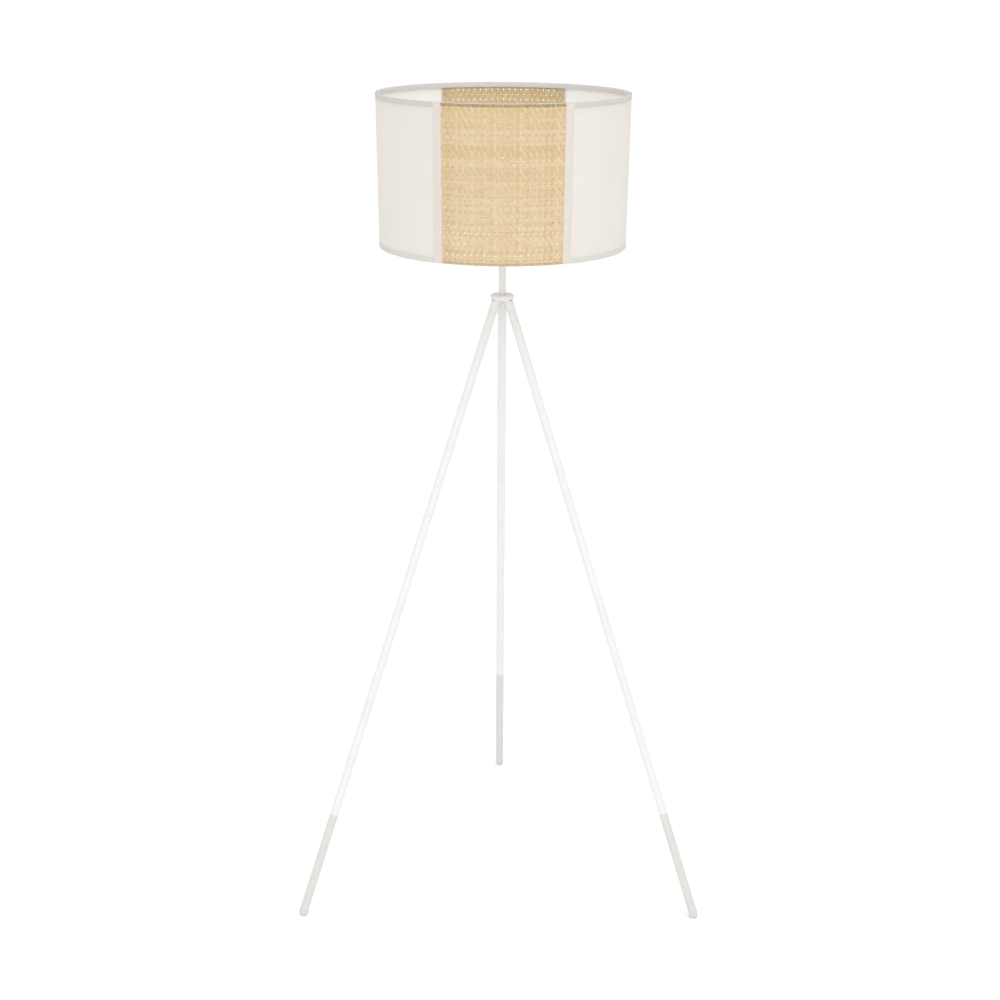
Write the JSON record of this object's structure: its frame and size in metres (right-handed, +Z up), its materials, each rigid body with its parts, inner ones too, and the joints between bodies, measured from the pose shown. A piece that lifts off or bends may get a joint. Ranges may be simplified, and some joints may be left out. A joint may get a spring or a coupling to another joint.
{
  "type": "tripod floor lamp",
  "caption": "White tripod floor lamp: slim screwed steel legs on a round hub, a short post, and a drum shade with white fabric sides and woven cane panels front and back.",
  "frame": {"origin": "on the lamp's vertical axis, at floor level", "axes": "+Z up along the post; -Y is the front, where one cane panel faces; one leg points back along +Y"},
  "size_m": [0.7576, 0.6612, 1.515],
  "materials": {
    "white_powder_coat": "satin powder coat; the legs' lower ends are dipped light warm grey",
    "grey_moulded_plastic": "matt moulded",
    "zinc_plated_steel": "bright zinc",
    "white_thermoplastic": "moulded, slightly glossy",
    "glazed_ceramic": "glazed",
    "white_rubber": "matt",
    "brass_contact": "bright",
    "brown_pvc": "extruded",
    "blue_pvc": "extruded",
    "opal_glass": "opal, satin",
    "nickel_plated_brass": "rolled thread",
    "black_vitrite": "fused glass",
    "white_coated_wire": "powder coated",
    "white_fabric": "plain weave laminated on a stiff translucent backing",
    "white_tape": "woven tape",
    "woven_cane": "natural peeled cane, close-woven with small open holes"
  },
  "bodies": {
    "stand": {"hub_plate": "white_powder_coat", "post_tube": "white_powder_coat", "back_leg_lower": "white_powder_coat", "back_leg_middle": "white_powder_coat", "back_leg_upper": "white_powder_coat", "back_leg_stub": "white_powder_coat", "left_leg_lower": "white_powder_coat", "left_leg_middle": "white_powder_coat", "left_leg_upper": "white_powder_coat", "left_leg_stub": "white_powder_coat", "right_leg_lower": "white_powder_coat", "right_leg_middle": "white_powder_coat", "right_leg_upper": "white_powder_coat", "right_leg_stub": "white_powder_coat", "back_foot": "grey_moulded_plastic", "left_foot": "grey_moulded_plastic", "right_foot": "grey_moulded_plastic", "lower_joint_bushes": "zinc_plated_steel", "lower_joint_studs": "zinc_plated_steel", "upper_joint_bushes": "zinc_plated_steel", "upper_joint_studs": "zinc_plated_steel", "hub_joint_bushes": "zinc_plated_steel", "hub_joint_studs": "zinc_plated_steel", "post_lower_nipple": "zinc_plated_steel", "post_upper_nipple": "zinc_plated_steel", "lampholder_locking_screw": "zinc_plated_steel", "lampholder_cap": "white_thermoplastic", "lampholder_skirt": "white_thermoplastic", "lampholder_insert": "glazed_ceramic", "cable_bush": "white_rubber", "live_terminal": "brass_contact", "side_contacts": "brass_contact", "live_wire": "brown_pvc", "neutral_wire": "blue_pvc"},
    "contact": {"centre_contact": "brass_contact"},
    "bulb_foot": {"bulb_contact": "brass_contact"},
    "bulb": {"bulb_glass": "opal_glass", "bulb_cap": "nickel_plated_brass", "bulb_insulator": "black_vitrite"},
    "shade": {"carrier_ring": "white_coated_wire", "carrier_arms": "white_coated_wire", "base_ring_wire": "white_coated_wire", "top_ring_wire": "white_coated_wire", "left_fabric_panel": "white_fabric", "right_fabric_panel": "white_fabric", "left_top_hem": "white_fabric", "left_base_hem": "white_fabric", "right_top_hem": "white_fabric", "right_base_hem": "white_fabric", "front_left_seam_strip": "white_fabric", "front_right_seam_strip": "white_fabric", "back_left_seam_strip": "white_fabric", "back_right_seam_strip": "white_fabric", "base_binding": "white_tape", "top_binding": "white_tape", "front_cane_panel": "woven_cane", "back_cane_panel": "woven_cane"},
    "shade_ring": {"shade_ring": "white_thermoplastic"}
  },
  "joints": [
    {"name": "shade_swivel", "type": "hinge", "parent": "stand", "child": "shade", "pos_m": [0, 0, 1.246], "axis": [0, 0, 1], "continuous": true},
    {"name": "shade_ring_turn", "type": "hinge", "parent": "stand", "child": "shade_ring", "pos_m": [0, 0, 1.2476], "axis": [0, 0, 1], "range_deg": [0, 3960]},
    {"name": "bulb_travel", "type": "slide", "parent": "stand", "child": "bulb_foot", "axis": [0, 0, 1], "range_m": [0, 0.0146]},
    {"name": "bulb_turn", "type": "hinge", "parent": "bulb_foot", "child": "bulb", "pos_m": [0, 0, 1.25], "axis": [0, 0, 1], "range_deg": [0, 1440]},
    {"name": "contact_press", "type": "hinge", "parent": "stand", "child": "contact", "pos_m": [-0.009, 0, 1.2476], "axis": [0, 1, 0], "range_deg": [0, 8], "stiffness_Nm_per_rad": 0.05}
  ],
  "couplings": [
    {"joint": "bulb_travel", "follows": "bulb_turn", "m_per_rad": 0.0005775}
  ]
}
